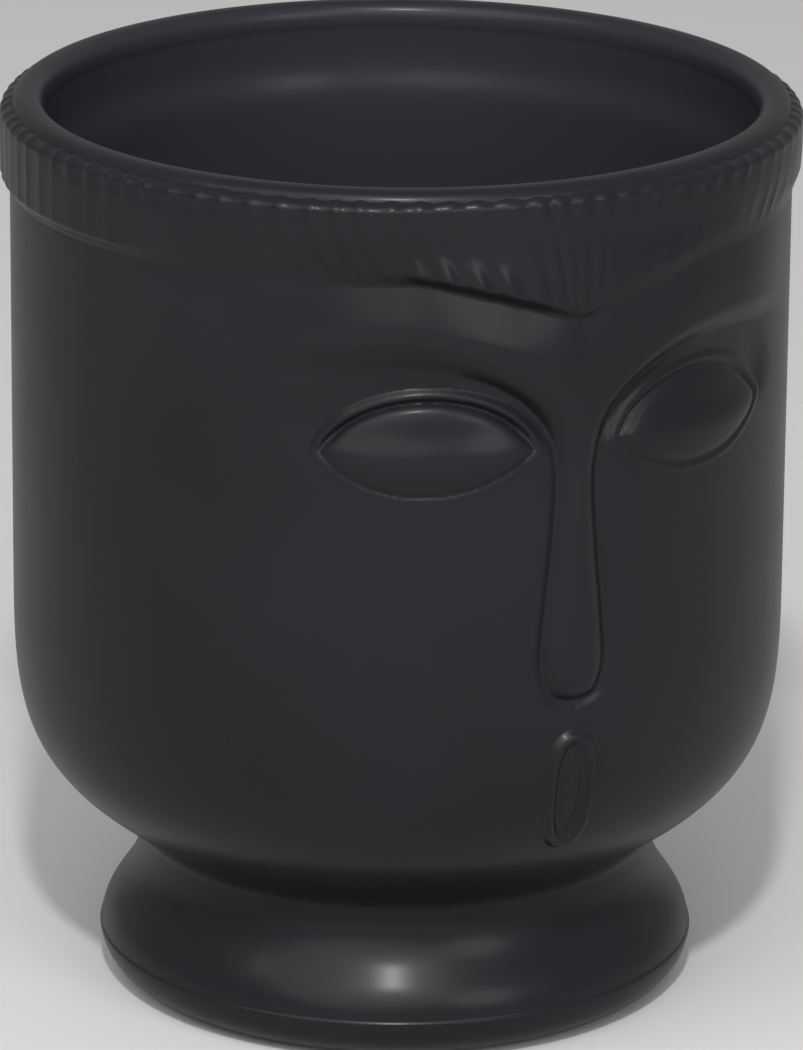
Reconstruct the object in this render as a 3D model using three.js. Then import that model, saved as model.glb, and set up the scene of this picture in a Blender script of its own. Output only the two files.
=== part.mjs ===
// Empty candle jar: a footed ceramic cup with a stylised mask face and a band of hair in low relief.
// Millimetres, +Z up. The origin is the centre of the ring that the foot stands on, and the face looks
// towards -Y. The pieces are the castings and the applied reliefs that a pottery joins with slip.
import * as THREE from 'three';

// ---- Driving dimensions, millimetres ----
const HEIGHT = 115.8; // from the resting face to the top of the lip
const WALL_RADIUS = 48.8; // outside of the plain wall
const BAND_RADIUS = 50; // outside of the hair band, the widest part
const WALL_THICKNESS = 4;
const GAP = 0.3; // between pieces that the slip joins

const FOOT_RADIUS = 37.85;
const FOOT_WIDEST_Z = 5.5;
const REST_RING_INNER = 28.6;
const REST_RING_OUTER = 31.7;
const NECK_RADIUS = 32.9;
const NECK_Z = 18.6;

const BASE_Z = 22.6; // underside of the cup
const BASE_RADIUS = 36.2;
const BOWL_TOP_Z = 52; // the bowl has become the straight wall here
const FLOOR_Z = 27.2;
const INNER_RADIUS = WALL_RADIUS - WALL_THICKNESS;
const RECESS_RADIUS = INNER_RADIUS + 1.1; // inside of the wall behind the hair band
const RECESS_Z = 104.5;
const WALL_TOP_Z = 110;

const BAND_TOP_Z = 113.1;
const BAND_EDGE_Z = 104.2; // lower edge of the hair band away from the face
const BAND_BEVEL = 2.6;
const PEAK_DROP = 5.5; // how far the hair dips over the forehead
const PEAK_HALF_ANGLE = 24; // degrees of arc on each side of the face over which it dips

const EYE_ANGLE = 22.8; // degrees from the middle of the face to the middle of an eye
const EYE_HALF_ANGLE = 15.2;
const EYE_Z = 83.7;
const EYE_HALF_HEIGHT = 5.4;
const LID_HEIGHT = 1.3;

const MOUTH_Z = 38.9;
const MOUTH_HALF_HEIGHT = 8.3;
const MOUTH_HALF_WIDTH = 3.3;
const MOUTH_RIM = 1.7; // width of the raised ring round the mouth

const AROUND = 60; // flat sides that a full turn is made of
const GLAZE = { color: 0x2e2c31, roughness: 0.42, metalness: 0 };

const degrees = THREE.MathUtils.degToRad;
const lerp = THREE.MathUtils.lerp;
const point = (radius, z) => new THREE.Vector2(radius, z);

// ---- Outlines, as radius and height ----
const bowlCurve = new THREE.CubicBezierCurve(
  point(BASE_RADIUS, BASE_Z),
  point(BASE_RADIUS + 11.6, BASE_Z + 7.6),
  point(WALL_RADIUS, BOWL_TOP_Z - 15.6),
  point(WALL_RADIUS, BOWL_TOP_Z),
);
const innerBowlCurve = new THREE.CubicBezierCurve(
  point(INNER_RADIUS, BOWL_TOP_Z),
  point(INNER_RADIUS, FLOOR_Z + 10.8),
  point(INNER_RADIUS - 3.3, FLOOR_Z + 1.3),
  point(BASE_RADIUS - 6.2, FLOOR_Z),
);
const cupOutside = [...bowlCurve.getPoints(8), point(WALL_RADIUS, WALL_TOP_Z)];

// Outer radius of the cup at a height, on the same flats as the cup itself.
function wallRadius(z) {
  const above = cupOutside.findIndex((corner) => corner.y >= z);
  if (above < 1) {
    return WALL_RADIUS;
  }
  const low = cupOutside[above - 1];
  const high = cupOutside[above];
  return lerp(low.x, high.x, (z - low.y) / (high.y - low.y));
}

// Lower edge of the hair band at an angle from the middle of the face, in degrees.
function bandEdge(angle) {
  const towardsPeak = Math.max(0, 1 - Math.abs(angle) / PEAK_HALF_ANGLE);
  return BAND_EDGE_Z - PEAK_DROP * towardsPeak ** 1.25;
}

// ---- Ways of making a solid ----
// A turned piece. The outline runs up the outside and down the inside.
function revolve(outline) {
  return new THREE.LatheGeometry(outline, AROUND).rotateX(Math.PI / 2);
}

// A thin relief that lies on the wall, as a grid of columns and rows. shape(u, v) gives, for u and v
// from 0 to 1, the angle from the middle of the face in degrees, the height, and the thickness.
// A closed relief runs round and meets itself.
function relief(columns, rows, closed, shape) {
  const positions = [];
  const indices = [];
  const across = closed ? columns : columns + 1;
  for (const outside of [0, 1]) {
    for (let row = 0; row <= rows; row += 1) {
      for (let column = 0; column < across; column += 1) {
        const { angle, z, thickness } = shape(column / columns, row / rows);
        const radius = wallRadius(z) + GAP + outside * thickness;
        const turn = degrees(angle);
        positions.push(radius * Math.sin(turn), -radius * Math.cos(turn), z);
      }
    }
  }
  const layer = across * (rows + 1);
  const corner = (outside, row, column) => outside * layer + row * across + (column % across);
  const quad = (a, b, c, d) => indices.push(a, b, c, a, c, d);
  for (let column = 0; column < columns; column += 1) {
    const next = column + 1;
    for (let row = 0; row < rows; row += 1) {
      const up = row + 1;
      quad(corner(1, row, column), corner(1, row, next), corner(1, up, next), corner(1, up, column));
      quad(corner(0, row, column), corner(0, up, column), corner(0, up, next), corner(0, row, next));
    }
    quad(corner(0, 0, column), corner(0, 0, next), corner(1, 0, next), corner(1, 0, column));
    quad(corner(1, rows, column), corner(1, rows, next), corner(0, rows, next), corner(0, rows, column));
  }
  for (let row = 0; row < rows && !closed; row += 1) {
    const up = row + 1;
    quad(corner(0, row, 0), corner(1, row, 0), corner(1, up, 0), corner(0, up, 0));
    quad(corner(1, row, columns), corner(0, row, columns), corner(0, up, columns), corner(1, up, columns));
  }
  const geometry = new THREE.BufferGeometry();
  geometry.setAttribute('position', new THREE.Float32BufferAttribute(positions, 3));
  geometry.setIndex(indices);
  return geometry;
}

// ---- Turned pieces ----
function makeCup() {
  const inside = [
    point(RECESS_RADIUS, WALL_TOP_Z),
    point(RECESS_RADIUS, RECESS_Z),
    point(INNER_RADIUS, RECESS_Z - 2.5),
    ...innerBowlCurve.getPoints(7),
  ];
  return revolve([point(0, BASE_Z), ...cupOutside, ...inside, point(0, FLOOR_Z)]);
}

// The foot is open underneath, so only a narrow ring of it rests on the table.
function makeFoot() {
  const toe = new THREE.CubicBezierCurve(
    point(REST_RING_OUTER, 0),
    point(REST_RING_OUTER + 0.4, 0),
    point(FOOT_RADIUS, 1.1),
    point(FOOT_RADIUS, FOOT_WIDEST_Z),
  );
  const flare = new THREE.CubicBezierCurve(
    point(FOOT_RADIUS, FOOT_WIDEST_Z),
    point(FOOT_RADIUS, FOOT_WIDEST_Z + 4.4),
    point(NECK_RADIUS, NECK_Z - 7.6),
    point(NECK_RADIUS, NECK_Z),
  );
  const inside = [point(REST_RING_INNER, NECK_Z), point(REST_RING_INNER, 0)];
  return revolve([...toe.getPoints(5), ...flare.getPoints(6).slice(1), ...inside, point(REST_RING_OUTER, 0)]);
}

// The fillet of slip in the corner between the foot and the cup.
function makeLutingRing() {
  const low = NECK_Z + GAP;
  const high = BASE_Z - GAP;
  const fillet = new THREE.QuadraticBezierCurve(
    point(NECK_RADIUS, low),
    point(NECK_RADIUS, lerp(low, high, 0.45)),
    point(BASE_RADIUS - 0.5, high),
  );
  const inside = [point(REST_RING_INNER, high), point(REST_RING_INNER, low)];
  return revolve([...fillet.getPoints(3), ...inside, point(NECK_RADIUS, low)]);
}

// The rolled lip overhangs the wall outside, where it covers the top of the hair band.
function makeRimLip() {
  const low = WALL_TOP_Z + GAP;
  const overhang = BAND_TOP_Z + GAP;
  const lipOuter = BAND_RADIUS - 0.3;
  const lipInner = INNER_RADIUS - 0.4;
  const middle = (lipOuter + lipInner) / 2;
  const roll = new THREE.EllipseCurve(middle, overhang, lipOuter - middle, HEIGHT - overhang, 0, Math.PI);
  const start = point(WALL_RADIUS, low);
  const inside = [point(lipInner + 0.2, overhang - 1.4), point(lipInner + 0.9, low)];
  return revolve([start, point(WALL_RADIUS, overhang), ...roll.getPoints(8), ...inside, start]);
}

// ---- Reliefs ----
function makeHairBand() {
  const fullThickness = BAND_RADIUS - WALL_RADIUS - GAP;
  return relief(120, 3, true, (u, v) => {
    const angle = 360 * u;
    const fromFace = Math.abs(((angle + 180) % 360) - 180);
    const edge = bandEdge(fromFace);
    const heights = [edge, edge + 0.4 * BAND_BEVEL, edge + BAND_BEVEL, BAND_TOP_Z];
    const bevel = [0.4, 0.75, 1, 1];
    const row = Math.round(v * 3);
    return { angle, z: heights[row], thickness: fullThickness * bevel[row] };
  });
}

// The forehead and the nose are one T-shaped relief. Each row is a height and half a width in degrees;
// the last row lies along the lower edge of the hair band.
function makeBrowAndNose() {
  const rows = [
    [50.8, 2.6],
    [52.2, 4.3],
    [54.5, 5],
    [58.5, 5.1],
    [65, 4.2],
    [73, 3.2],
    [80, 2.9],
    [84, 3.9],
    [87.3, 6.5],
    [89.8, 9.8],
    [91.8, 14.2],
    [93.1, 19.5],
    [93.9, 27],
    [94.4, 36],
  ];
  const [browZ, browHalfAngle] = rows[rows.length - 1];
  return relief(12, rows.length, false, (u, v) => {
    const row = Math.round(v * rows.length);
    const side = 2 * u - 1;
    const thickness = lerp(0.85, 0.4, side ** 2);
    if (row < rows.length) {
      const [z, halfAngle] = rows[row];
      return { angle: side * halfAngle, z, thickness };
    }
    const angle = side * browHalfAngle;
    return { angle, z: Math.max(bandEdge(angle) - GAP, browZ + 1), thickness: 0.4 };
  });
}

// Upper or lower edge of an eye, from -1 at one corner to 1 at the other.
function eyeEdge(along, upper) {
  const blunt = 0.05;
  const bulge = EYE_HALF_HEIGHT * (1 + blunt - Math.abs(along) ** 2.2);
  return upper ? EYE_Z + bulge : EYE_Z - bulge;
}

function makeEye(eyeAngle) {
  return relief(14, 6, false, (u, v) => {
    const along = 2 * u - 1;
    const across = 2 * v - 1;
    const z = lerp(eyeEdge(along, false), eyeEdge(along, true), v);
    const crown = (1 - along ** 2) * (1 - across ** 2);
    return { angle: eyeAngle + along * EYE_HALF_ANGLE, z, thickness: 0.25 + 0.6 * crown };
  });
}

// The lid is a narrow ridge that follows the upper edge of the eye.
function makeEyelid(eyeAngle) {
  return relief(14, 2, false, (u, v) => {
    const along = 2 * u - 1;
    const z = eyeEdge(along, true) + GAP + v * LID_HEIGHT * (1.25 - along ** 4);
    const thickness = v === 0.5 ? 0.8 : 0.4;
    return { angle: eyeAngle + along * EYE_HALF_ANGLE, z, thickness };
  });
}

function makeMouthRing() {
  return relief(24, 2, true, (u, v) => {
    const turn = -2 * Math.PI * u;
    const inset = (1 - v) * MOUTH_RIM;
    const halfAngle = THREE.MathUtils.radToDeg((MOUTH_HALF_WIDTH - inset) / WALL_RADIUS);
    const z = MOUTH_Z + (MOUTH_HALF_HEIGHT - inset) * Math.sin(turn);
    const thickness = v === 0.5 ? 0.9 : 0.4;
    return { angle: halfAngle * Math.cos(turn), z, thickness };
  });
}

// ---- Assembly ----
const group = new THREE.Group();

function add(name, geometry) {
  const mesh = new THREE.Mesh(geometry, new THREE.MeshStandardMaterial(GLAZE));
  mesh.name = name;
  group.add(mesh);
}

add('foot', makeFoot());
add('luting_ring', makeLutingRing());
add('cup', makeCup());
add('rim_lip', makeRimLip());
add('hair_band', makeHairBand());
add('brow_and_nose', makeBrowAndNose());
for (const [side, sign] of [['left', -1], ['right', 1]]) {
  add(`${side}_eye`, makeEye(sign * EYE_ANGLE));
  add(`${side}_eyelid`, makeEyelid(sign * EYE_ANGLE));
}
add('mouth_ring', makeMouthRing());

export default group;
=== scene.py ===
"""The looks of an empty ceramic candle jar: a footed cup with a rolled lip, a ribbed hair band and a mask
face in low relief, in a satin charcoal-black glaze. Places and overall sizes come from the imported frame.

Everything is worked out in millimetres and turned into metres when a mesh is made. A point on the wall
has two coordinates: x, the distance round the wall from the middle of the face, and its height z. One
function, face_height, says how far the relief stands off the plain wall, so that the pieces which share
the wall meet without a step."""

import math

import bpy
import numpy as np
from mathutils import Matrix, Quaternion, Vector


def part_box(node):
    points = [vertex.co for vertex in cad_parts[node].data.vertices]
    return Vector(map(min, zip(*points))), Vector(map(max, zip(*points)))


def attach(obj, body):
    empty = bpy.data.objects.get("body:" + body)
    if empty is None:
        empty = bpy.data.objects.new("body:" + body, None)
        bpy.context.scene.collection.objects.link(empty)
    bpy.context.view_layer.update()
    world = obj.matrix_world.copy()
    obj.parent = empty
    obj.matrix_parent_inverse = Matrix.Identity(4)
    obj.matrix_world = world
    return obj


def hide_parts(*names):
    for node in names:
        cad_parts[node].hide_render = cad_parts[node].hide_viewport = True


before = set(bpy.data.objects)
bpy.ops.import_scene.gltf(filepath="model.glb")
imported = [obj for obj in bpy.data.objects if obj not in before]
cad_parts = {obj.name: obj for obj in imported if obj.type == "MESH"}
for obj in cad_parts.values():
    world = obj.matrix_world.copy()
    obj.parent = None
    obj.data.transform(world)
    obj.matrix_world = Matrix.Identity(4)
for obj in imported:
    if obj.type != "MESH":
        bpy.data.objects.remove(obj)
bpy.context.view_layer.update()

MM = 0.001


def box_mm(node):
    """Lowest and highest corner of a CAD node, in millimetres."""
    low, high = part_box(node)
    return np.array(low) / MM, np.array(high) / MM


# ---- Sizes from the frame, in millimetres ----
CUP_LOW, CUP_HIGH = box_mm("cup")
FOOT_HIGH = box_mm("foot")[1]
LIP_LOW, LIP_HIGH = box_mm("rim_lip")
BAND_LOW, BAND_HIGH = box_mm("hair_band")
FACE_LOW = box_mm("brow_and_nose")[0]
EYE_LOW, EYE_HIGH = box_mm("right_eye")
MOUTH_LOW, MOUTH_HIGH = box_mm("mouth_ring")

WALL_R = CUP_HIGH[0]  # outside of the plain wall
BAND_R = BAND_HIGH[0]
FOOT_R = FOOT_HIGH[0]
LIP_TOP_Z = LIP_HIGH[2]
LIP_LOW_Z = LIP_LOW[2]
BASE_Z = CUP_LOW[2]
NECK_Z = FOOT_HIGH[2]
NOSE_END_Z = FACE_LOW[2]
EYE_Z = (EYE_LOW[2] + EYE_HIGH[2]) / 2
MOUTH_Z = (MOUTH_LOW[2] + MOUTH_HIGH[2]) / 2
PEAK_Z = BAND_LOW[2]  # lowest point of the hair, over the nose

# ---- Shape of the turned parts ----
NECK_R = 32.9  # of the foot, at the waist
BASE_R = 36.2  # where the bowl leaves the waist
BOWL_TOP_Z = 52.0  # the bowl has become the straight wall here
FOOT_WIDEST_Z = 5.5
REST_INNER_R = 28.6  # of the ring that the foot stands on
REST_OUTER_R = 31.7
WALL_THICKNESS = 5.0
INNER_R = WALL_R - WALL_THICKNESS
RECESS_R = INNER_R + 0.85  # the inside is a little wider behind the hair band
SHOULDER_HALF = 3.6  # half the height of the slope between the two
FLOOR_THICKNESS = 4.6
FLOOR_Z = BASE_Z + FLOOR_THICKNESS
LIP_OUTER_R = WALL_R - 0.1
LIP_INNER_R = WALL_R - 4.3
LIP_RISE = 2.5
BEAD_Z = 5.85  # thin bead of glaze round the foot
BEAD_HEIGHT = 0.19
BEAD_ABOVE = 0.21  # its upper side is steep, its lower side runs out softly
BEAD_BELOW = 1.2

# ---- How finely the meshes are divided round the jar ----
FOOT_COLUMNS = 288  # also of the fillet in the waist
LIP_COLUMNS = 480
BAND_COLUMNS = 1080
FACE_DEGREES = 54  # the cup's mesh is fine this far round on each side of the middle
FACE_COLUMNS = 216
BACK_COLUMNS = 200

# ---- Hair band ----
BAND_MARGIN = 0.03  # keeps the crests of the ribs inside the CAD band
BAND_STEP = BAND_R - WALL_R - BAND_MARGIN
BAND_EDGE_Z = PEAK_Z + 5.5  # lower edge beside the peak
SHOULDER_Z = BAND_EDGE_Z + 1.5  # of the slope inside, behind the hair
BAND_EDGE_WIDTH = 1.9  # of its step near the peak and round the back
BAND_SIDE_WIDTH = 3.4  # of its step beside the face
BAND_ROUND_Z = LIP_TOP_Z - 2.4  # the ribs start to round over under the lip
BAND_TOP_Z = LIP_TOP_Z - 0.95
BAND_TUCK = 0.9  # the top runs in under the lip, this far inside the wall's outside
PEAK_HALF = 20.0  # half the width over which the hair dips
PEAK_ROUND = 1.0
BAND_SWELL = 0.55  # the hair is this much thicker low down near the peak
RIBS = 90
RIB_DEPTH = 0.30
LOCK_SWELL = 0.5  # the locks left of the peak are this much fuller low down
RIB_SLANT = 0.40  # sideways run of a rib for each millimetre down, beside the face

# ---- Face ----
RELIEF = 1.12  # brow and nose, above the wall
FOREHEAD_DEPTH = 0.45  # left of the middle the forehead starts this far below the wall
FOREHEAD_RAMP = 5.0  # and comes out over this height below the hair
NOSE_EDGE = 2.8  # width of the rounded edge of the nose
BROW_EDGE = 4.0  # and of the brow over the outer half of the eye
SOCKET_DEPTH = 0.9
SOCKET_REACH = 6.0  # it fades out this far from the eye
CHEEK_DEPTH = 0.25
CHEEK_REACH = 2.2
BALL_HEIGHT = 1.3
LID_HEIGHT = 0.7
LOWER_LID_HEIGHT = 0.14
CREASE_DEPTH = 0.5  # between eye and lid
CREASE_WIDTH = 0.6
GROOVE_DEPTH = 0.35  # beside the nose
GROOVE_WIDTH = 0.75
MOUTH_HEIGHT = 0.8
HOLE_HALF_WIDTH = 1.9  # of the hollow inside the ring of the mouth
HOLE_HALF_HEIGHT = 6.1

# ---- How a relief piece is set into the wall ----
TILE_DEPTH = 0.5
TILE_CELL = 0.22
TILE_DIP = 0.35  # the wall sinks this far under a piece
FLANGE = 0.45  # a piece runs out this far onto the wall round it
LIFT = 0.004  # each piece lies this much over the one below it
SLOPE_STEP = 0.02  # over which a slope is measured


# ---- Small helpers ----
def smooth(t):
    """0 below 0, 1 above 1, and an even S between."""
    t = np.clip(t, 0.0, 1.0)
    return t * t * (3 - 2 * t)


def mix(a, b, t):
    return a + (b - a) * t


def bezier(p0, p1, p2, p3, count):
    """Points along a cubic curve, both ends included."""
    t = np.linspace(0, 1, count + 1)[:, None]
    p0, p1, p2, p3 = (np.array(p, float) for p in (p0, p1, p2, p3))
    return (1 - t) ** 3 * p0 + 3 * (1 - t) ** 2 * t * p1 + 3 * (1 - t) * t**2 * p2 + t**3 * p3


def spline(points, steps):
    """A smooth closed line through a few points (Catmull-Rom)."""
    points = np.array(points, float)
    following = np.roll(points, -1, 0)
    tangents = (following - np.roll(points, 1, 0)) / 2
    spans = []
    for here, there, leave, arrive in zip(points, following, tangents, np.roll(tangents, -1, 0)):
        spans.append(bezier(here, here + leave / 3, there - arrive / 3, there, steps)[:-1])
    return np.concatenate(spans)


def inside_depth(x, z, outline):
    """Distance from each point to a closed outline, positive inside it."""
    px, pz = np.ravel(x), np.ravel(z)
    nearest = np.full(px.shape, np.inf)
    inside = np.zeros(px.shape, bool)
    for (ax, az), (bx, bz) in zip(outline, np.roll(outline, -1, 0)):
        ex, ez = bx - ax, bz - az
        t = np.clip(((px - ax) * ex + (pz - az) * ez) / (ex * ex + ez * ez), 0, 1)
        nearest = np.minimum(nearest, (px - ax - t * ex) ** 2 + (pz - az - t * ez) ** 2)
        if az != bz:
            inside ^= ((az > pz) != (bz > pz)) & (px < ax + (pz - az) * ex / ez)
    nearest = np.sqrt(nearest)
    return np.where(inside, nearest, -nearest).reshape(np.shape(x))


# ---- The plain outside of the cup ----
BOWL = bezier(
    (BASE_R, BASE_Z),
    (BASE_R + 11.6, BASE_Z + 7.6),
    (WALL_R, BOWL_TOP_Z - 15.6),
    (WALL_R, BOWL_TOP_Z),
    60,
)
WALL_LINE = np.concatenate([BOWL, [(WALL_R, LIP_TOP_Z)]])
WALL_SLOPE = np.gradient(WALL_LINE, axis=0)
WALL_SLOPE /= np.linalg.norm(WALL_SLOPE, axis=1)[:, None]


def wall_direction(z):
    """How far the outward direction of the plain wall points sideways and upwards."""
    heights = WALL_LINE[:, 1]
    return np.interp(z, heights, WALL_SLOPE[:, 1]), -np.interp(z, heights, WALL_SLOPE[:, 0])


def on_wall(x, z, height):
    """The point that stands a height off the wall."""
    turn = x / WALL_R
    across, up = wall_direction(z)
    radius = np.interp(z, WALL_LINE[:, 1], WALL_LINE[:, 0]) + height * across
    return np.stack([radius * np.sin(turn), -radius * np.cos(turn), z + height * up], -1)


def wall_normals(x, z, surface):
    """Outward directions of the wall with a relief on it."""
    step = SLOPE_STEP
    lean_x = (surface(x + step, z) - surface(x - step, z)) / (2 * step)
    lean_z = (surface(x, z + step) - surface(x, z - step)) / (2 * step)
    turn = x / WALL_R
    across, up = wall_direction(z)
    lean_z = lean_z * across
    zero = np.zeros_like(turn)
    outward = np.stack([across * np.sin(turn), -across * np.cos(turn), up + zero], -1)
    along = np.stack([np.cos(turn), np.sin(turn), zero], -1)
    upward = np.stack([-up * np.sin(turn), up * np.cos(turn), across + zero], -1)
    normal = outward - lean_x[..., None] * along - lean_z[..., None] * upward
    return normal / np.linalg.norm(normal, axis=-1, keepdims=True)


# ---- Outlines of the face ----
# The right half of the brow and nose, from the tip of the nose up round the brow. Its top lies under the
# hair band.
BROW_OUTLINE = spline(
    [
        (-2.9, NOSE_END_Z + 0.9),
        (0.0, NOSE_END_Z),
        (2.9, NOSE_END_Z + 0.9),
        (4.2, NOSE_END_Z + 4.6),
        (3.9, NOSE_END_Z + 10.5),
        (2.8, NOSE_END_Z + 22.0),
        (2.6, NOSE_END_Z + 30.0),
        (4.3, EYE_Z + 2.3),
        (8.3, EYE_Z + 6.3),
        (14.2, EYE_Z + 8.9),
        (23.0, EYE_Z + 10.1),
        (33.0, EYE_Z + 9.2),
        (43.0, EYE_Z + 9.5),
        (45.0, BAND_EDGE_Z + 3),
        (-3.0, BAND_EDGE_Z + 3),
    ],
    10,
)
EYE_INNER = (5.9, EYE_Z - 0.3)
EYE_OUTER = (31.9, EYE_Z - 0.1)
EYE_UPPER = bezier(EYE_INNER, (10.0, EYE_Z + 8.0), (26.8, EYE_Z + 8.5), EYE_OUTER, 30)
EYE_LOWER = bezier(EYE_INNER, (12.0, EYE_Z - 6.8), (26.0, EYE_Z - 7.8), EYE_OUTER, 30)
EYE_OUTLINE = np.concatenate([EYE_UPPER[::-1][:-1], EYE_LOWER[:-1]])
MOUTH_TURN = np.linspace(0, 2 * math.pi, 61)[:-1]
MOUTH_HOLE = np.stack(
    [HOLE_HALF_WIDTH * np.cos(MOUTH_TURN), MOUTH_Z + HOLE_HALF_HEIGHT * np.sin(MOUTH_TURN)],
    1,
)


def brow_depth(x, z):
    return inside_depth(np.abs(x), z, BROW_OUTLINE)


def eye_depth(x, z):
    return inside_depth(np.abs(x), z, EYE_OUTLINE)


def mouth_depth(x, z):
    return inside_depth(x, z, MOUTH_HOLE)


def lid_width(z):
    """The lid is wide over the eye and narrow under it."""
    return mix(1.3, 1.8, smooth((z - EYE_Z + 2.0) / 4.0))


def mouth_width(z):
    return mix(1.45, 2.3, smooth(np.abs(z - MOUTH_Z) / 7.0))


def firmness(x):
    """The relief is crisp left of the middle and softer right of it."""
    return mix(1.0, 0.45, smooth(x / 6.0))


def ridge(t):
    """A rounded ridge from 0 to 1, with a crease at 0 and a soft far side."""
    t = np.clip(t, 0.0, 1.0)
    return 5.38 * t * (1 - t) ** 1.5


def band_edge(x):
    """Height of the lower edge of the hair."""
    away = np.hypot(x, PEAK_ROUND) - 0.6 * PEAK_ROUND
    return BAND_EDGE_Z - (BAND_EDGE_Z - PEAK_Z) * np.clip(1 - away / PEAK_HALF, 0, 1) ** 1.25


# ---- Relief of the face ----
def eyeball(x, z):
    """A smooth lens between the upper and lower edges of the eye."""
    away = np.abs(x)
    upper = np.interp(away, EYE_UPPER[:, 0], EYE_UPPER[:, 1])
    lower = np.interp(away, EYE_LOWER[:, 0], EYE_LOWER[:, 1])
    half = np.maximum((upper - lower) / 2, 0.01)
    across = np.clip((z - (upper + lower) / 2) / half, -1, 1)
    return BALL_HEIGHT * (half / 6.0) ** 0.8 * (1 - across**2) ** 0.8


def face_height(x, z):
    """How far the face stands off the plain wall, without the hair."""
    brow = brow_depth(x, z)
    eye = eye_depth(x, z)
    mouth = mouth_depth(x, z)
    away = np.abs(x)
    above = smooth((z - EYE_Z + 1.0) / 3.5)
    # Hollows: the socket over each eye, and a shallow dish on each side of the nose.
    socket = np.clip(1 + (eye + 1.2) / SOCKET_REACH, 0, 1)
    socket = socket * smooth((z - EYE_Z + 3) / 7) * smooth((40 - away) / 8)
    cheek = np.exp(np.minimum(brow, 0) / CHEEK_REACH)
    cheek = cheek * smooth((12 - away) / 8) * smooth((z - NOSE_END_Z + 3) / 4)
    ground = -SOCKET_DEPTH * smooth(socket) - CHEEK_DEPTH * cheek * (1 - smooth(socket))
    # Brow and nose: round over the nose, and soft over the outer half of the eye.
    firm = firmness(x)
    softness = smooth((away - 8) / 10) * firm
    share = np.clip(brow / mix(NOSE_EDGE, BROW_EDGE, softness), 0, 1)
    edge = mix(1 - (1 - share) ** 2, smooth(share), mix(0.3, 1.0, softness))
    forehead = 1 - (1 - np.clip((band_edge(x) - z) / FOREHEAD_RAMP, 0, 1)) ** 1.15
    start = mix(0.2, -FOREHEAD_DEPTH, smooth(-x / 8) * smooth((34 + x) / 20)) + 0.5 * smooth(x / 6)
    top = mix(start, RELIEF, forehead) * smooth((44 - away) / 18)
    groove = np.exp(-(((brow + 0.15) / GROOVE_WIDTH) ** 2)) * (1 - smooth((away - 8) / 10))
    height = mix(ground, top, edge) - GROOVE_DEPTH * groove
    # Eyes, each with a lid all round that is strong above and faint below.
    lid = mix(LOWER_LID_HEIGHT, LID_HEIGHT * firm, above) * ridge(-eye / lid_width(z))
    crease = mix(0.3, firm**1.5, above) * np.exp(-(((eye - 0.1) / CREASE_WIDTH) ** 2))
    height = height + np.where(eye > 0, eyeball(x, z), lid) - CREASE_DEPTH * crease
    # Mouth.
    ring = MOUTH_HEIGHT * np.sin(math.pi * np.clip(-mouth / mouth_width(z), 0, 1)) ** 1.4
    pool = -0.12 * smooth(mouth / 0.5) + 0.3 * smooth(mouth / 1.8)
    return height + np.where(mouth > 0, pool, ring)


# ---- Hair ----
def wave(x, *parts):
    """A fixed uneven wave, once round the jar: parts are (size, waves round the jar, phase)."""
    return sum(size * np.sin(count * x / WALL_R + phase) for size, count, phase in parts)


def ribs(x, z):
    """Ribs of the hair, 1 on a crest and 0 in a groove. They lean towards the middle of the face."""
    beside = np.abs(x) / WALL_R
    lean = RIB_SLANT * np.tanh(x / 4.0) * smooth((1.5 - beside) / 1.0)
    start = x + lean * (BAND_TOP_Z - z)
    uneven = wave(start, (0.28, 11, 0.4), (0.22, 23, 2.1), (0.14, 37, 4.0))
    phase = RIBS * start / WALL_R / 2 + uneven
    # Broad locks near the peak, fine ridges elsewhere.
    return np.abs(np.cos(phase)) ** mix(4.0, 1.5, smooth((28 - np.abs(x)) / 12))


def band_height(x, z):
    """How far the hair stands off the plain wall."""
    away = np.abs(x)
    thin_top = BAND_SWELL * smooth((26 - away) / 12) * smooth((z - BAND_EDGE_Z) / 5.5)
    low = smooth((z - band_edge(x) - 0.2) / 2.5)
    high = 1 - 0.8 * smooth((z - BAND_EDGE_Z - 3.0) / 4.0) * smooth((60 - away) / 20)
    knuckle = mix(0.2, 0.8, smooth((34 - x) / 22) * smooth((x + 78) / 14))
    knuckle = knuckle * smooth((z - BAND_ROUND_Z + 2.6) / 2.6)
    strength = 0.85 + wave(x, (0.18, 9, 1.0), (0.12, 17, 3.1)) - 0.75 * np.exp(-((x / 6.0) ** 2))
    # The ribs nearly vanish on the temples, and are shallow all round the back.
    strength = strength - 0.8 * smooth((away - 38) / 12) + 0.35 * smooth((away - 70) / 10)
    strength = np.maximum(strength - 0.6 * smooth((x - 1) / 8) * smooth((70 - x) / 16), 0.05)
    rib = ribs(x, z)
    near = smooth((24 + x) / 6) * smooth((-x - 3) / 5)
    depth = RIB_DEPTH * np.maximum(strength * (1 - 0.4 * near) * low * high, knuckle)
    above_edge = z - band_edge(x)
    full = smooth(above_edge / 1.6) * (1 - smooth((above_edge - 1.6) / 4.0))
    temple = 0.55 * np.exp(-(((away - 38) / 14) ** 2)) * (1 - smooth(above_edge / 7.0))
    return BAND_STEP * (1 - temple) - thin_top - depth * (1 - rib) + LOCK_SWELL * near * full * rib


def outer_height(x, z):
    """The whole relief: the face, and the hair over it."""
    away = np.abs(x)
    crisp = np.maximum(smooth((34 - away) / 18) * firmness(x), smooth((away - 48) / 12))
    width = mix(BAND_SIDE_WIDTH, BAND_EDGE_WIDTH, crisp)
    return mix(face_height(x, z), band_height(x, z), smooth((z - band_edge(x)) / width))


# ---- Which piece covers the wall where: positive inside the piece ----
def band_piece(x, z):
    return z - band_edge(x) + FLANGE


def brow_piece(x, z):
    return np.minimum.reduce([brow_depth(x, z) + FLANGE, band_edge(x) + 0.8 - z, 43.0 - np.abs(x)])


def lid_piece(x, z):
    eye = eye_depth(x, z)
    return np.minimum(-eye, lid_width(z) + FLANGE + eye)


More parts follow.
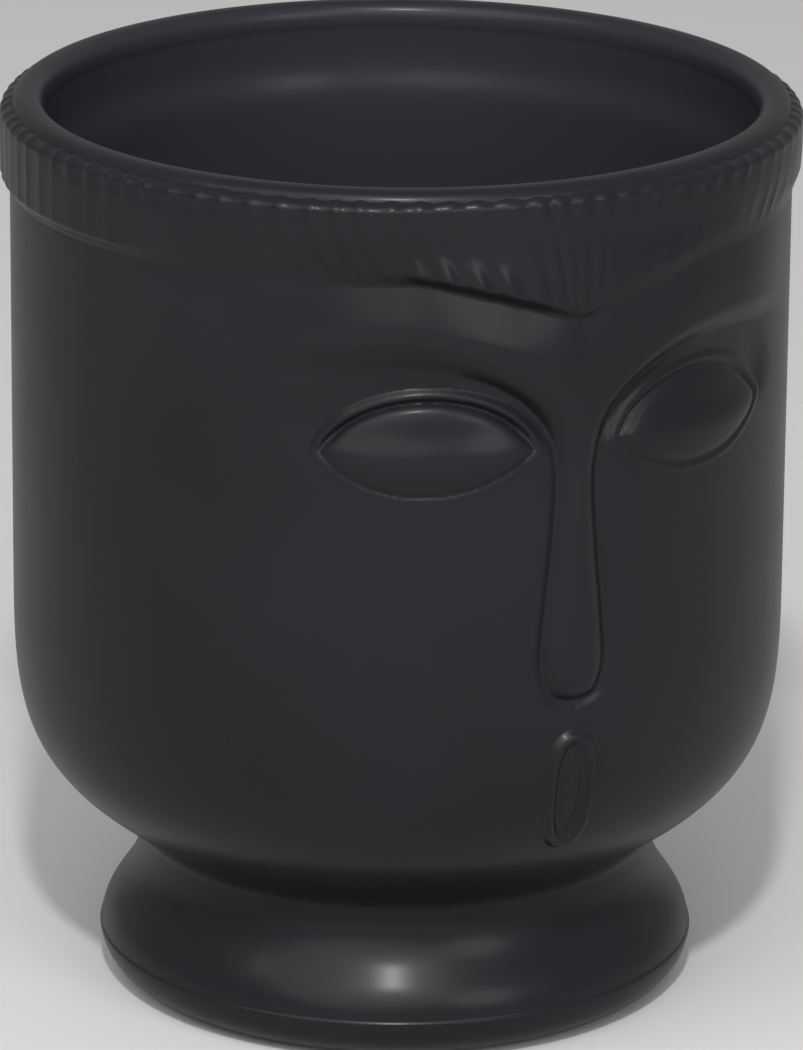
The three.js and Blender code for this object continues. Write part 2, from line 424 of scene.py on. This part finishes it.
def mouth_piece(x, z):
    mouth = mouth_depth(x, z)
    return np.minimum(mouth + mouth_width(z) + FLANGE, 1.1 - mouth)


def cup_height(x, z):
    """The cup's own surface: it follows the face, and dips under the pieces that are set into it."""
    eye_and_lid = eye_depth(x, z) + lid_width(z) + FLANGE
    cover = np.maximum.reduce([brow_piece(x, z), eye_and_lid, mouth_piece(x, z), band_piece(x, z)])
    return face_height(x, z) - TILE_DIP * smooth((cover - 0.15) / 0.6)


def brow_height(x, z):
    """The face's surface, which dips where it runs in under the hair."""
    return face_height(x, z) - 0.4 * smooth((z - band_edge(x)) / 0.8)


# ---- Materials ----
DARK_TONE = (0.0091, 0.0086, 0.0107, 1)
LIGHT_TONE = (0.0118, 0.0112, 0.0140, 1)
# painted light: a lighter tone for the inside of the cup, in place of the light that reaches it
INSIDE_PAINTED_LIGHT_TONE = (0.0235, 0.0222, 0.0275, 1)
GLAZE_ROUGHNESS = (0.36, 0.46)


def glaze(name):
    """Satin black glaze: a nearly matt body under a thin clear coat, uneven in tone and gloss. The cup's
    glaze also has light painted on its inside, as a lighter tone.
    """
    material = bpy.data.materials.new(name)
    material.use_nodes = True
    tree = material.node_tree
    shader = tree.nodes["Principled BSDF"]
    shader.inputs["Specular IOR Level"].default_value = 0.10
    shader.inputs["Coat Weight"].default_value = 0.13
    shader.inputs["Coat Roughness"].default_value = 0.23
    shader.inputs["Coat IOR"].default_value = 1.5
    place = tree.nodes.new("ShaderNodeTexCoord")

    def noise(scale, detail, rough=0.5):
        node = tree.nodes.new("ShaderNodeTexNoise")
        node.inputs["Scale"].default_value = scale
        node.inputs["Detail"].default_value = detail
        node.inputs["Roughness"].default_value = rough
        tree.links.new(place.outputs["Object"], node.inputs["Vector"])
        return node

    cloud = noise(28.0, 3.0)
    ramp = tree.nodes.new("ShaderNodeValToRGB")
    ramp.color_ramp.elements[0].position = 0.32
    ramp.color_ramp.elements[0].color = DARK_TONE
    ramp.color_ramp.elements[1].position = 0.70
    ramp.color_ramp.elements[1].color = LIGHT_TONE
    tree.links.new(cloud.outputs["Fac"], ramp.inputs["Fac"])
    tone = ramp.outputs["Color"]
    # The cup's inside gets painted light: its tone is made lighter there.
    if name == "cup_glaze":
        tone = paint_light_inside(tree, place, tone)
    tree.links.new(tone, shader.inputs["Base Color"])

    patch = noise(90.0, 4.0, 0.6)
    gloss = tree.nodes.new("ShaderNodeMapRange")
    gloss.inputs["To Min"].default_value = GLAZE_ROUGHNESS[0]
    gloss.inputs["To Max"].default_value = GLAZE_ROUGHNESS[1]
    tree.links.new(patch.outputs["Fac"], gloss.inputs["Value"])
    tree.links.new(gloss.outputs["Result"], shader.inputs["Roughness"])

    skin = noise(900.0, 2.0)
    sway = noise(60.0, 1.0)
    fine = tree.nodes.new("ShaderNodeBump")
    fine.inputs["Strength"].default_value = 0.25
    fine.inputs["Distance"].default_value = 0.00005
    broad = tree.nodes.new("ShaderNodeBump")
    broad.inputs["Strength"].default_value = 0.5
    broad.inputs["Distance"].default_value = 0.0002
    tree.links.new(skin.outputs["Fac"], fine.inputs["Height"])
    tree.links.new(sway.outputs["Fac"], broad.inputs["Height"])
    tree.links.new(broad.outputs["Normal"], fine.inputs["Normal"])
    tree.links.new(fine.outputs["Normal"], shader.inputs["Normal"])
    return material


def paint_light_inside(tree, place, tone):
    """Paints light onto the inside of the cup: a lighter tone than the outside stands in for light that
    the inside lacks.
    """

    def ramped(source, ends, results):
        node = tree.nodes.new("ShaderNodeMapRange")
        node.inputs["From Min"].default_value = ends[0] * MM
        node.inputs["From Max"].default_value = ends[1] * MM
        node.inputs["To Min"].default_value = results[0]
        node.inputs["To Max"].default_value = results[1]
        tree.links.new(source, node.inputs["Value"])
        return node.outputs["Result"]

    flat = tree.nodes.new("ShaderNodeVectorMath")
    flat.operation = "MULTIPLY"
    flat.inputs[1].default_value = (1, 1, 0)
    radius = tree.nodes.new("ShaderNodeVectorMath")
    radius.operation = "LENGTH"
    parts = tree.nodes.new("ShaderNodeSeparateXYZ")
    tree.links.new(place.outputs["Object"], flat.inputs[0])
    tree.links.new(flat.outputs["Vector"], radius.inputs[0])
    tree.links.new(place.outputs["Object"], parts.inputs["Vector"])
    # A cone, and a cylinder above it, that run inside the thickness of the wall.
    mid_low, mid_high = (BASE_R - 3.2) * MM, (INNER_R + 1.7) * MM
    middle = ramped(parts.outputs["Z"], (BASE_Z, BASE_Z + 15.0), (mid_low, mid_high))
    gap = tree.nodes.new("ShaderNodeMath")
    gap.operation = "SUBTRACT"
    tree.links.new(middle, gap.inputs[0])
    tree.links.new(radius.outputs["Value"], gap.inputs[1])
    blend = tree.nodes.new("ShaderNodeMix")
    blend.data_type = "RGBA"
    tree.links.new(ramped(gap.outputs["Value"], (-0.5, 0.8), (0.0, 1.0)), blend.inputs["Factor"])
    tree.links.new(tone, blend.inputs["A"])
    blend.inputs["B"].default_value = INSIDE_PAINTED_LIGHT_TONE
    return blend.outputs["Result"]


GLAZES = {slot: glaze(slot) for slot in ("cup_glaze", "foot_glaze", "relief_glaze")}


# ---- Making meshes ----
def add_object(name, mesh):
    thing = bpy.data.objects.new(name, mesh)
    bpy.context.scene.collection.objects.link(thing)
    return thing


def make_piece(name, node, slot, points, faces, sharp=42, normals=None, shaped=(0, 0)):
    """A closed mesh from points in millimetres, which rides on the jar and replaces its CAD node.
    Where normals are given, the faces from shaped[0] to shaped[1] are shaded with them."""
    mesh = bpy.data.meshes.new(name)
    mesh.from_pydata((np.asarray(points) * MM).tolist(), [], faces)
    mesh.shade_smooth()
    mesh.set_sharp_from_angle(angle=math.radians(sharp))
    if normals is not None:
        corners = np.empty(len(mesh.loops), int)
        mesh.loops.foreach_get("vertex_index", corners)
        starts = np.empty(len(mesh.polygons) + 1, int)
        mesh.polygons.foreach_get("loop_start", starts[:-1])
        starts[-1] = len(corners)
        chosen = slice(starts[shaped[0]], starts[shaped[1]])
        wanted = np.zeros((len(corners), 3))
        wanted[chosen] = normals[corners[chosen]]
        mesh.normals_split_custom_set(wanted.tolist())
    mesh.materials.append(GLAZES[slot])
    piece = add_object(name, mesh)
    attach(piece, "root")
    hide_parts(node)


def wrap_faces(rows, columns):
    """Quads of a tube that closes in both directions, row by row."""
    row, column = np.meshgrid(np.arange(rows), np.arange(columns), indexing="ij")
    up, right = (row + 1) % rows, (column + 1) % columns
    corners = [(row, column), (row, right), (up, right), (up, column)]
    return np.stack([(r * columns + c).ravel() for r, c in corners], 1).tolist()


def rings(outline, turn):
    """Rings of points turned from an outline of radius and height."""
    outline = np.asarray(outline, float)
    radius, height = outline[:, 0][:, None], outline[:, 1][:, None]
    return np.stack([radius * np.sin(turn), -radius * np.cos(turn), height + 0 * turn], -1)


def turned(name, node, slot, outline, columns):
    """A ring turned from a closed outline of radius and height, which runs up the outside."""
    points = rings(outline, np.linspace(0, 2 * math.pi, columns, endpoint=False)).reshape(-1, 3)
    make_piece(name, node, slot, points, wrap_faces(len(outline), columns))


def tile(name, node, depth, low, high, surface, lift):
    """A relief piece: the part of the wall, between two corners, where depth(x, z) is positive."""
    xs = np.arange(low[0], high[0] + TILE_CELL, TILE_CELL)
    zs = np.arange(low[1], high[1] + TILE_CELL, TILE_CELL)
    x, z = np.meshgrid(xs, zs, indexing="ij")
    inside = depth(x, z) > -0.3 * TILE_CELL
    kept = drop_corner_contacts(inside[:-1, :-1] & inside[1:, :-1] & inside[:-1, 1:] & inside[1:, 1:])
    around = np.zeros(x.shape, int)
    for i, j in ((0, 0), (1, 0), (0, 1), (1, 1)):
        around[i : i + kept.shape[0], j : j + kept.shape[1]] += kept
    used = around > 0
    x, z = snap(x, z, used & (around < 4), depth)
    number = np.full(x.shape, -1)
    number[used] = np.arange(used.sum())
    x, z = x[used], z[used]
    height = surface(x, z)
    outer = on_wall(x, z, height + lift)
    inner = on_wall(x, z, np.minimum(face_height(x, z), height) - TILE_DEPTH)
    i, j = np.nonzero(kept)
    quads = np.stack([number[i, j], number[i + 1, j], number[i + 1, j + 1], number[i, j + 1]], 1)
    edges = np.concatenate([quads[:, [k, (k + 1) % 4]] for k in range(4)]).tolist()
    paired = {(b, a) for a, b in edges}
    rim = np.array([(a, b) for a, b in edges if (a, b) not in paired])
    count = len(outer)
    walls = np.stack([rim[:, 1], rim[:, 0], rim[:, 0] + count, rim[:, 1] + count], 1)
    faces = np.concatenate([quads, quads[:, ::-1] + count, walls]).tolist()
    normals = np.concatenate([wall_normals(x, z, surface), np.zeros((count, 3))])
    points = np.concatenate([outer, inner])
    make_piece(name, node, "relief_glaze", points, faces, 50, normals, (0, len(quads)))


def drop_corner_contacts(kept):
    """Removes cells that touch only at a corner, so that the piece stays one clean body."""
    while True:
        a, b, c, d = kept[:-1, :-1], kept[1:, 1:], kept[1:, :-1], kept[:-1, 1:]
        falling = a & b & ~c & ~d
        rising = c & d & ~a & ~b
        if not (falling.any() or rising.any()):
            return kept
        kept = kept.copy()
        kept[:-1, :-1] &= ~falling
        kept[1:, :-1] &= ~rising


def snap(x, z, rim, depth):
    """Moves the rim of a grid onto the line where depth is zero."""
    x, z = x.copy(), z.copy()
    step = SLOPE_STEP
    for _ in range(2):
        rx, rz = x[rim], z[rim]
        slope_x = (depth(rx + step, rz) - depth(rx - step, rz)) / (2 * step)
        slope_z = (depth(rx, rz + step) - depth(rx, rz - step)) / (2 * step)
        steep = np.maximum(slope_x**2 + slope_z**2, 0.25)
        move = np.clip(depth(rx, rz), -TILE_CELL, TILE_CELL) / steep
        x[rim], z[rim] = rx - move * slope_x, rz - move * slope_z
    return x, z


# ---- Turned pieces ----
def make_foot():
    toe = bezier((REST_OUTER_R, 0), (REST_OUTER_R + 1.0, 0), (FOOT_R, 1.1), (FOOT_R, FOOT_WIDEST_Z), 40)
    flare = bezier(
        (FOOT_R, FOOT_WIDEST_Z),
        (FOOT_R, FOOT_WIDEST_Z + 5.3),
        (NECK_R, NECK_Z - 6.8),
        (NECK_R, NECK_Z),
        200,
    )
    outside = np.concatenate([toe, flare[1:]])
    from_bead = outside[:, 1] - BEAD_Z
    half = np.where(from_bead > 0, BEAD_ABOVE, BEAD_BELOW)
    outside[:, 0] += BEAD_HEIGHT * np.exp(-((from_bead / half) ** 2))
    inside = bezier((REST_INNER_R, NECK_Z), (REST_INNER_R, 10), (REST_INNER_R, 3), (REST_INNER_R, 0.8), 10)
    hem = bezier(inside[-1], (REST_INNER_R, 0.3), (REST_INNER_R + 0.3, 0), (REST_INNER_R + 0.8, 0), 6)
    turned("foot_shell", "foot", "foot_glaze", np.concatenate([outside, inside, hem[1:]]), FOOT_COLUMNS)


def make_luting_ring():
    corner_z = NECK_Z + 1.8
    fillet = bezier(
        (NECK_R, NECK_Z),
        (NECK_R, mix(NECK_Z, corner_z, 2 / 3)),
        (mix(BASE_R, NECK_R, 2 / 3), mix(BASE_Z, corner_z, 2 / 3)),
        (BASE_R, BASE_Z),
        16,
    )
    hole = REST_INNER_R + 0.4
    inside = [
        (BASE_R - 3.0, BASE_Z + 1.2),
        (hole, BASE_Z + 0.6),
        (hole, NECK_Z - 0.8),
        (NECK_R - 1.0, NECK_Z - 0.8),
    ]
    turned("waist_fillet", "luting_ring", "foot_glaze", np.concatenate([fillet, inside]), FOOT_COLUMNS)


def make_rim_lip():
    middle, half = (LIP_OUTER_R + LIP_INNER_R) / 2, (LIP_OUTER_R - LIP_INNER_R) / 2
    spring_z = LIP_TOP_Z - LIP_RISE
    turn = np.linspace(0, math.pi, 40)
    # A little squarer than an ellipse: flat on top, quick to turn down at both sides.
    across = np.sign(np.cos(turn)) * np.abs(np.cos(turn)) ** 0.8
    crown = np.stack([middle + half * across, spring_z + LIP_RISE * np.sin(turn) ** 0.8], 1)
    throat = bezier(
        (LIP_INNER_R, spring_z),
        (LIP_INNER_R, spring_z - 0.5),
        (RECESS_R, spring_z - 0.7),
        (RECESS_R, spring_z - 1.4),
        8,
    )
    throat = np.concatenate([throat, [(RECESS_R, LIP_LOW_Z)]])
    under_z = LIP_LOW_Z - 0.6
    under = [(RECESS_R + 1.2, under_z), (WALL_R - 0.9, under_z), (WALL_R - 0.6, spring_z - 1.0)]
    outline = np.concatenate([crown, throat[1:], under])
    turned("rolled_lip", "rim_lip", "cup_glaze", outline, LIP_COLUMNS)


# ---- Pieces that share the wall ----
def make_cup():
    face_turn = math.radians(FACE_DEGREES)
    fine = np.linspace(-face_turn, face_turn, FACE_COLUMNS, endpoint=False)
    coarse = np.linspace(face_turn, 2 * math.pi - face_turn, BACK_COLUMNS, endpoint=False)
    turn = np.concatenate([fine, coarse])
    heights = np.concatenate(
        [
            BOWL[: np.searchsorted(BOWL[:, 1], MOUTH_LOW[2] - 1.5), 1],
            np.arange(MOUTH_LOW[2] - 1.5, MOUTH_HIGH[2] + 1, 0.42),
            np.arange(MOUTH_HIGH[2] + 1, EYE_LOW[2] - 3, 0.6),
            np.arange(EYE_LOW[2] - 3, BAND_EDGE_Z + 2, 0.42),
            [BAND_EDGE_Z + 4, LIP_LOW_Z - 0.4],
        ]
    )
    x, z = np.meshgrid(np.where(turn > math.pi, turn - 2 * math.pi, turn) * WALL_R, heights)
    outside = on_wall(x, z, cup_height(x, z))
    shoulder = bezier(
        (RECESS_R, SHOULDER_Z + SHOULDER_HALF),
        (RECESS_R, SHOULDER_Z),
        (INNER_R, SHOULDER_Z),
        (INNER_R, SHOULDER_Z - SHOULDER_HALF),
        20,
    )
    bowl = bezier(
        (INNER_R, BOWL_TOP_Z),
        (INNER_R, FLOOR_Z + 10.8),
        (INNER_R - 3.3, FLOOR_Z),
        (BASE_R - 6.2, FLOOR_Z),
        28,
    )
    straight = [(INNER_R, mix(SHOULDER_Z, BOWL_TOP_Z, share)) for share in (1 / 3, 2 / 3)]
    floor = [(14, FLOOR_Z), (3, FLOOR_Z)]
    inside = np.concatenate([[(RECESS_R, LIP_LOW_Z)], shoulder, straight, bowl, floor])
    below = [(3, BASE_Z), (REST_INNER_R, BASE_Z), (BASE_R - 2.5, BASE_Z)]
    rows = np.concatenate([rings(below, turn), outside, rings(inside, turn)])
    count, columns = rows.shape[:2]
    faces = wrap_faces(count, columns)[: (count - 1) * columns]
    floor_centre, base_centre = count * columns, count * columns + 1
    points = np.concatenate([rows.reshape(-1, 3), [(0, 0, FLOOR_Z), (0, 0, BASE_Z)]])
    last = (count - 1) * columns
    for column in range(columns):
        following = (column + 1) % columns
        faces.append((last + column, last + following, floor_centre))
        faces.append((following, column, base_centre))
    first = len(below) * columns
    normals = np.zeros(points.shape)
    normals[first : first + x.size] = wall_normals(x, z, face_height).reshape(-1, 3)
    shaped = (first, first + (len(heights) - 1) * columns)
    make_piece("cup_body", "cup", "cup_glaze", points, faces, 42, normals, shaped)


def make_hair_band():
    columns = BAND_COLUMNS
    x = np.linspace(-math.pi, math.pi, columns, endpoint=False) * WALL_R
    low = band_edge(x) - FLANGE
    share = np.linspace(0, 1, 48)[:, None]
    z = mix(low, BAND_ROUND_Z, share)
    gx = np.broadcast_to(x, z.shape)
    front = on_wall(gx, z, outer_height(gx, z) + 2 * LIFT)
    # The top of each rib rounds over and runs in under the lip.
    over = np.linspace(0, 1, 12)[1:, None] * math.pi / 2
    round_z = np.full_like(x, BAND_ROUND_Z)
    crest = band_height(x, round_z)
    rib = ribs(x, round_z)
    sunk = crest - (crest + BAND_TUCK) * (1 - np.cos(over))
    rise = BAND_ROUND_Z + (BAND_TOP_Z - BAND_ROUND_Z) * (0.85 + 0.15 * rib) * np.sin(over)
    top = on_wall(np.broadcast_to(x, sunk.shape), rise, sunk)
    back_high = on_wall(x, round_z, np.full_like(x, -BAND_TUCK))[None]
    back_low = on_wall(x, low, face_height(x, low) - TILE_DEPTH)[None]
    rows = np.concatenate([front, top, back_high, back_low])
    points = rows.reshape(-1, 3)
    normals = np.zeros(points.shape)
    normals[: z.size] = wall_normals(gx, z, outer_height).reshape(-1, 3)
    shaped = (0, (len(front) - 1) * columns)
    faces = wrap_faces(len(rows), columns)
    make_piece("ribbed_hair_band", "hair_band", "relief_glaze", points, faces, 60, normals, shaped)


def make_reliefs():
    brow_low, brow_high = (-44.0, NOSE_END_Z - 1), (44.0, BAND_EDGE_Z + 1.2)
    tile("brow_and_nose_relief", "brow_and_nose", brow_piece, brow_low, brow_high, brow_height, LIFT)
    near, far = EYE_INNER[0] - 3.5, EYE_OUTER[0] + 3.5
    for side, sign in (("left", -1), ("right", 1)):
        low = (min(sign * near, sign * far), EYE_Z - 9)
        high = (max(sign * near, sign * far), EYE_Z + 10)
        tile(f"{side}_eyelid_relief", f"{side}_eyelid", lid_piece, low, high, face_height, 2 * LIFT)
        tile(f"{side}_eye_relief", f"{side}_eye", eye_depth, low, high, face_height, 3 * LIFT)
    low, high = (-5.5, MOUTH_Z - 11), (5.5, MOUTH_Z + 11)
    tile("mouth_ring_relief", "mouth_ring", mouth_piece, low, high, face_height, LIFT)


# ---- Stage, lights and camera ----
AZIMUTH = -26.3  # degrees: the camera stands to the left of the face
ELEVATION = 18.16
CAMERA_DISTANCE = 0.893
TARGET = (0, 0, 0.0582)
CAMERA_ROLL = 0.48
SENSOR_WIDTH = 36.0
LENS = 241.2
SHIFT = (0.0033, 0.0039)
WHITE = (1.0, 0.99, 1.0)
WARM = (1.0, 0.86, 0.66)
COOL = (0.95, 0.97, 1.0)
LAMPS = (  # name, azimuth from the camera's, elevation, distance, size, power, colour
    ("soft_lamp", -14, 42, 1.3, 1.5, 11.5, WHITE),
    ("key_lamp", -1, 47, 1.3, 0.07, 8.0, WHITE),
    ("left_lamp", -62, 42, 1.4, 0.24, 1.0, WARM),
    ("right_lamp", 36, 24, 1.4, 0.6, 4.0, COOL),
)
PAPER_TONE = (0.60, 0.60, 0.59, 1)


def direction(azimuth, elevation):
    """Unit vector from the jar, azimuth 0 in front of the face and growing to the viewer's right."""
    azimuth, elevation = math.radians(azimuth), math.radians(elevation)
    flat = math.cos(elevation)
    return Vector((math.sin(azimuth) * flat, -math.cos(azimuth) * flat, math.sin(elevation)))


def aim(thing, target):
    """Turns a camera or light to look at a point."""
    thing.rotation_mode = "QUATERNION"
    thing.rotation_quaternion = (Vector(target) - thing.location).to_track_quat("-Z", "Y")


def make_camera():
    data = bpy.data.cameras.new("camera")
    data.sensor_width = SENSOR_WIDTH
    data.lens = LENS
    data.shift_x, data.shift_y = SHIFT
    data.clip_end = 50.0
    camera = add_object("camera", data)
    camera.location = Vector(TARGET) + direction(AZIMUTH, ELEVATION) * CAMERA_DISTANCE
    aim(camera, TARGET)
    roll = Quaternion((0, 0, 1), math.radians(CAMERA_ROLL))
    camera.rotation_quaternion = camera.rotation_quaternion @ roll
    bpy.context.scene.camera = camera


def make_lamp(name, azimuth, elevation, distance, size, power, colour):
    """A round lamp; its azimuth is measured from the camera's."""
    data = bpy.data.lights.new(name, "AREA")
    data.shape = "DISK"
    data.size = size
    data.energy = power
    data.color = colour
    lamp = add_object(name, data)
    lamp.location = direction(AZIMUTH + azimuth, elevation) * distance
    aim(lamp, TARGET)


def make_stage():
    """A pale floor that sweeps up into a backdrop all round, as in a light tent."""
    sweep = [(0.0001, 0), (0.5, 0), (1.2, 0), (1.6, 0.03), (1.9, 0.16), (2.05, 0.45), (2.1, 0.9)]
    columns = 96
    points = rings(sweep, np.linspace(0, 2 * math.pi, columns, endpoint=False)).reshape(-1, 3)
    faces = wrap_faces(len(sweep), columns)[: (len(sweep) - 1) * columns]
    mesh = bpy.data.meshes.new("floor")
    mesh.from_pydata(points.tolist(), [], faces)
    mesh.shade_smooth()
    material = bpy.data.materials.new("floor_paper")
    material.use_nodes = True
    shader = material.node_tree.nodes["Principled BSDF"]
    shader.inputs["Base Color"].default_value = PAPER_TONE
    shader.inputs["Roughness"].default_value = 0.9
    shader.inputs["Specular IOR Level"].default_value = 0.1
    mesh.materials.append(material)
    add_object("floor", mesh)


def make_world():
    world = bpy.data.worlds.new("studio")
    bpy.context.scene.world = world
    world.use_nodes = True
    background = world.node_tree.nodes["Background"]
    background.inputs["Color"].default_value = (0.95, 0.96, 1.0, 1)
    background.inputs["Strength"].default_value = 0.45


make_camera()
make_foot()
make_luting_ring()
make_cup()
make_rim_lip()
make_hair_band()
make_reliefs()
make_stage()
make_world()
for lamp in LAMPS:
    make_lamp(*lamp)
bpy.context.scene.view_settings.view_transform = "Standard"
